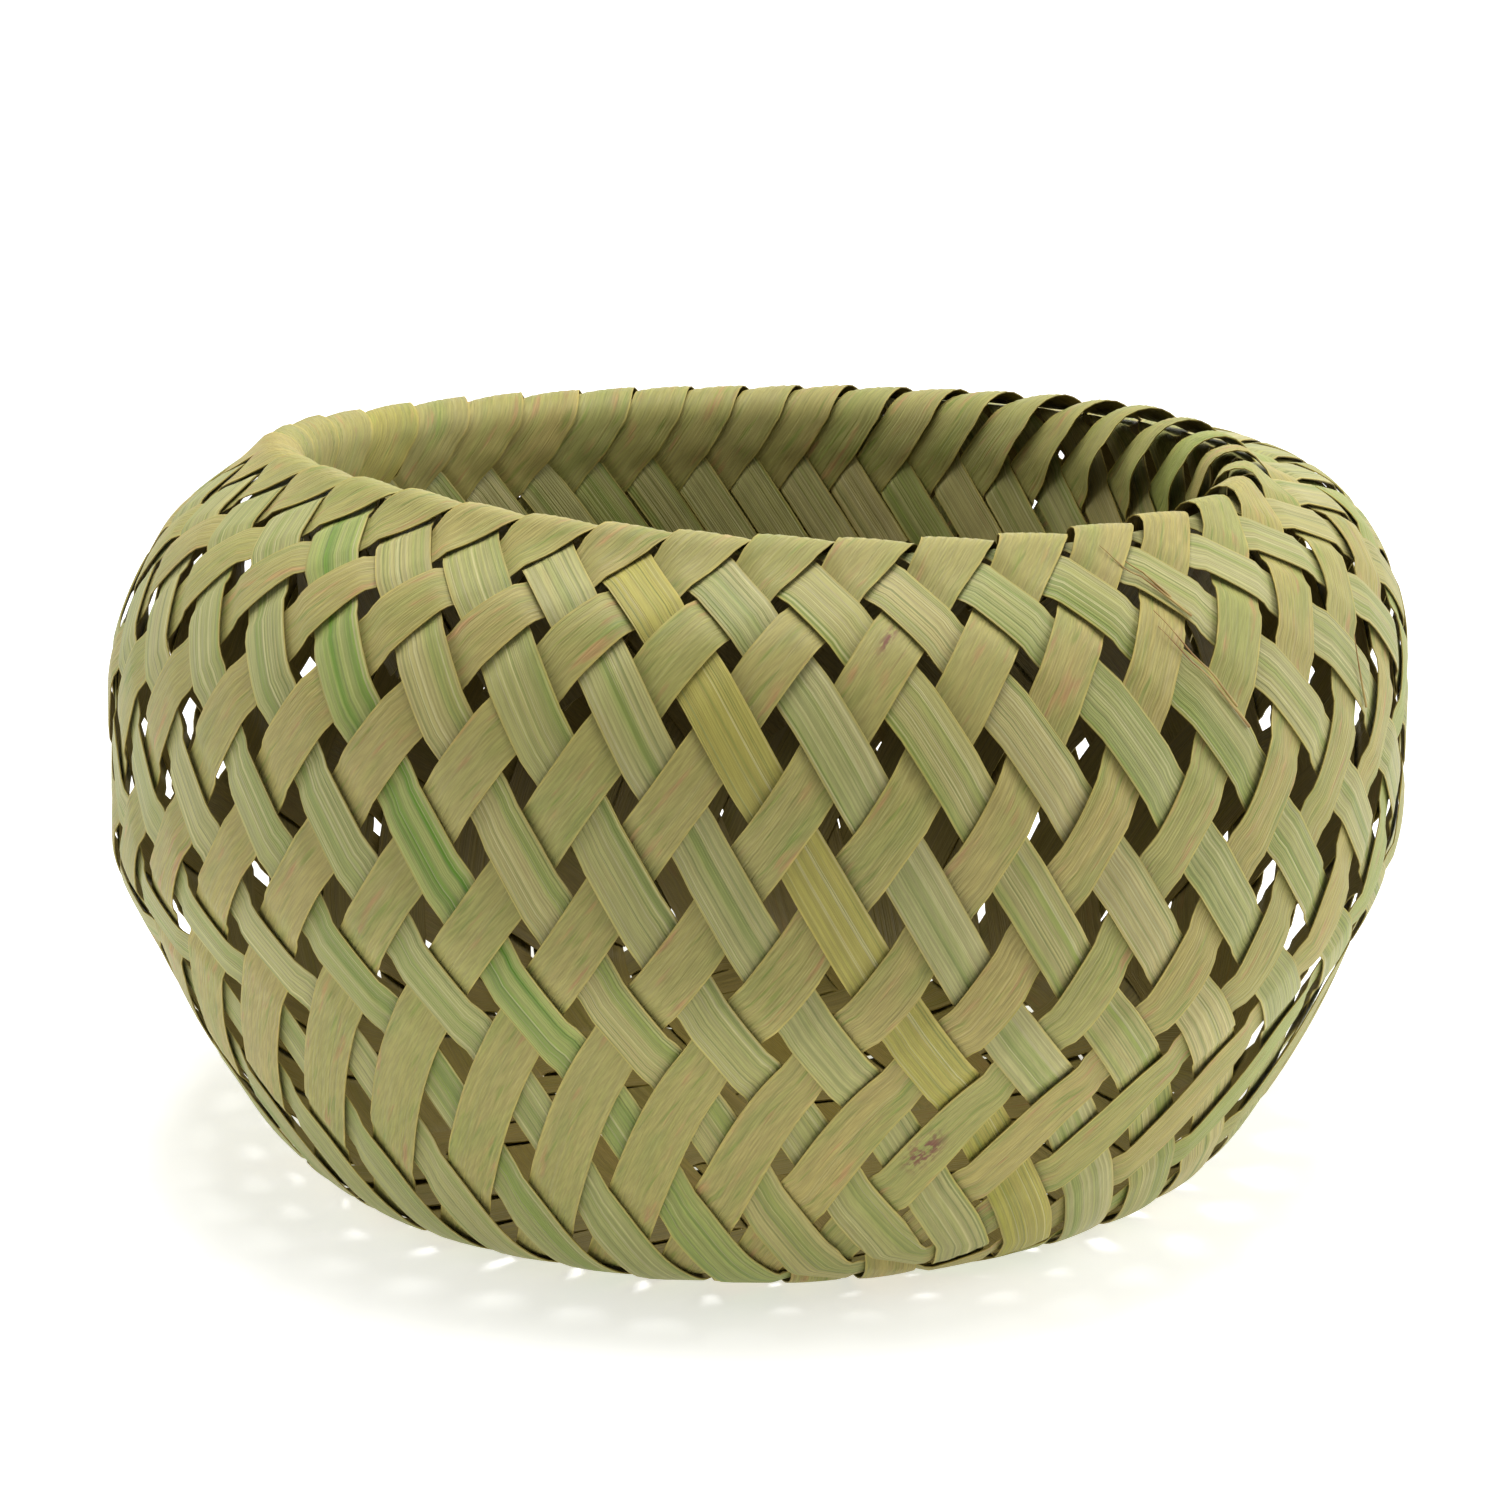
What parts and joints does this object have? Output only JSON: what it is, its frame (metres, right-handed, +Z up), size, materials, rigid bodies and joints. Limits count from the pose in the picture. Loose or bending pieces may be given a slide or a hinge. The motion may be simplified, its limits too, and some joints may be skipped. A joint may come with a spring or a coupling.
{
  "type": "plaited storage basket",
  "caption": "Small round-bellied open basket plaited on the bias from flat green leaf or bamboo strips that roll over the rim and hang down inside as a collar, for holding small things.",
  "frame": {"origin": "on the surface that the basket stands on, under the middle of its overall box", "axes": "+Z up out of the mouth, -Y the side that the picture shows as the front, +X to the right of that side"},
  "size_m": [0.167, 0.168, 0.0965],
  "materials": {
    "leaf_along": "matt green leaf strip with fine lengthwise fibre lines",
    "leaf_across": "matt olive leaf strip with fine lengthwise fibre lines"
  },
  "bodies": {
    "root": {"strip_along_01": "leaf_along", "strip_across_01": "leaf_across", "strip_along_02": "leaf_along", "strip_across_02": "leaf_across", "strip_along_03": "leaf_along", "strip_across_03": "leaf_across", "strip_along_04": "leaf_along", "strip_across_04": "leaf_across", "strip_along_05": "leaf_along", "strip_across_05": "leaf_across", "strip_along_06": "leaf_along", "strip_across_06": "leaf_across", "strip_along_07": "leaf_along", "strip_across_07": "leaf_across", "strip_along_08": "leaf_along", "strip_across_08": "leaf_across", "strip_along_09": "leaf_along", "strip_across_09": "leaf_across", "strip_along_10": "leaf_along", "strip_across_10": "leaf_across", "strip_along_11": "leaf_along", "strip_across_11": "leaf_across", "strip_along_12": "leaf_along", "strip_across_12": "leaf_across", "strip_along_13": "leaf_along", "strip_across_13": "leaf_across", "strip_along_14": "leaf_along", "strip_across_14": "leaf_across", "strip_along_15": "leaf_along", "strip_across_15": "leaf_across", "strip_along_16": "leaf_along", "strip_across_16": "leaf_across", "strip_along_17": "leaf_along", "strip_across_17": "leaf_across", "strip_along_18": "leaf_along", "strip_across_18": "leaf_across", "strip_along_19": "leaf_along", "strip_across_19": "leaf_across", "strip_along_20": "leaf_along", "strip_across_20": "leaf_across"}
  },
  "joints": []
}
